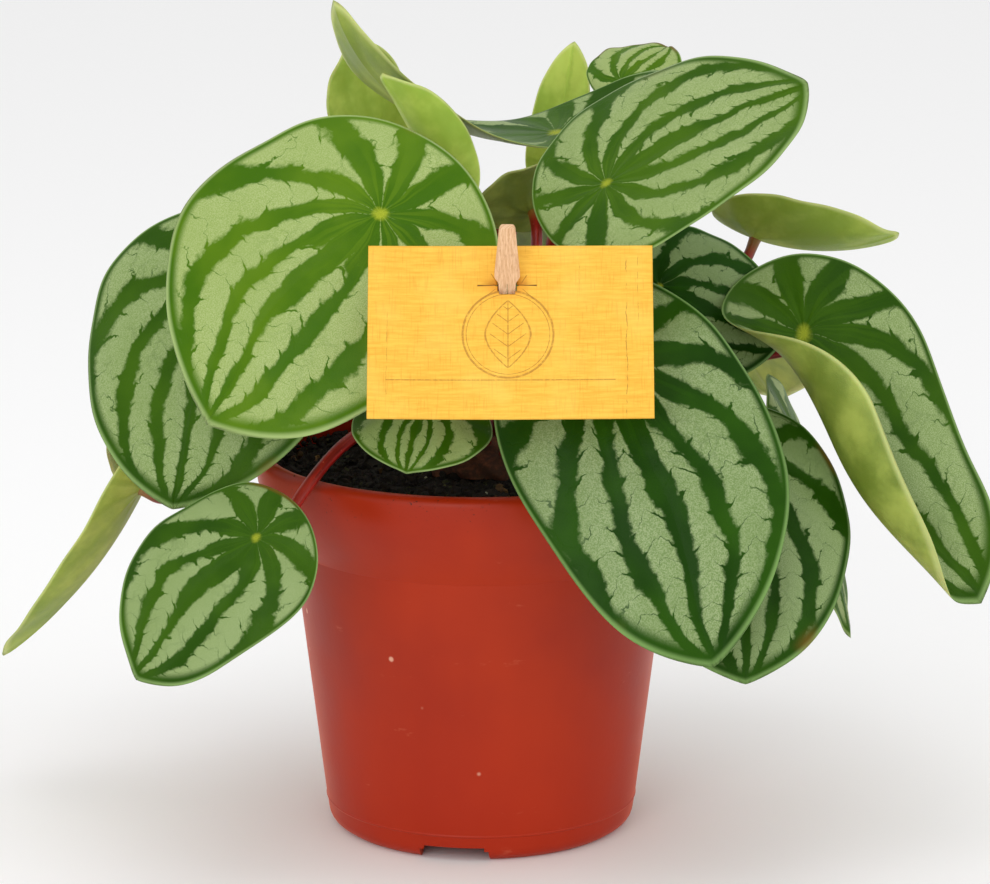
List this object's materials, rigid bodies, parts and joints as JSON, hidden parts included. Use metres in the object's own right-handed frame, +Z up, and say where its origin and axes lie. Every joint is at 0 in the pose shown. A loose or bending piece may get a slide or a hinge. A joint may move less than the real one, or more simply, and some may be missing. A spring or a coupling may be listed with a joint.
{
  "type": "potted peperomia",
  "caption": "Small house plant with silver-striped shield leaves on red stalks, in a round terracotta-coloured plastic pot, with a blank yellow card on a wooden peg.",
  "frame": {"origin": "middle of the footprint on the surface the pot stands on, which is the pot's axis to within a millimetre", "axes": "+Z up along the pot's axis, -Y towards the side that the card faces, +X to the right of someone who looks at the card"},
  "size_m": [0.2679, 0.1841, 0.225],
  "materials": {
    "leaf": "satin, dark green with silver-grey bands",
    "petiole": "satin, dark red",
    "pot_plastic": "semi-matte, terracotta orange",
    "compost": "rough, damp peat",
    "rootstock": "rough",
    "card": "matte, wood-look print",
    "peg": "sanded bare"
  },
  "bodies": {
    "root": {"blade_back": "leaf", "blade_back_left": "leaf", "blade_back_low": "leaf", "blade_back_low_right": "leaf", "blade_back_right": "leaf", "blade_centre": "leaf", "blade_far_left": "leaf", "blade_front_left": "leaf", "blade_front_low": "leaf", "blade_front_right": "leaf", "blade_front_right_back": "leaf", "blade_left": "leaf", "blade_left_back": "leaf", "blade_pot_left": "leaf", "blade_right": "leaf", "blade_right_back": "leaf", "blade_right_low": "leaf", "blade_right_shade": "leaf", "blade_top": "leaf", "blade_top_fold": "leaf", "blade_top_left": "leaf", "blade_top_tip": "leaf", "blade_upper_back": "leaf", "blade_upper_right": "leaf", "crown": "rootstock", "label_card": "card", "label_peg": "peg", "petiole_back": "petiole", "petiole_back_left": "petiole", "petiole_back_low": "petiole", "petiole_back_low_right": "petiole", "petiole_back_right": "petiole", "petiole_centre": "petiole", "petiole_far_left": "petiole", "petiole_front_left": "petiole", "petiole_front_low": "petiole", "petiole_front_right": "petiole", "petiole_front_right_back": "petiole", "petiole_left": "petiole", "petiole_left_back": "petiole", "petiole_pot_left": "petiole", "petiole_right": "petiole", "petiole_right_back": "petiole", "petiole_right_low": "petiole", "petiole_right_shade": "petiole", "petiole_top": "petiole", "petiole_top_fold": "petiole", "petiole_top_left": "petiole", "petiole_top_tip": "petiole", "petiole_upper_back": "petiole", "petiole_upper_right": "petiole", "pot": "pot_plastic", "soil": "compost"}
  },
  "joints": []
}
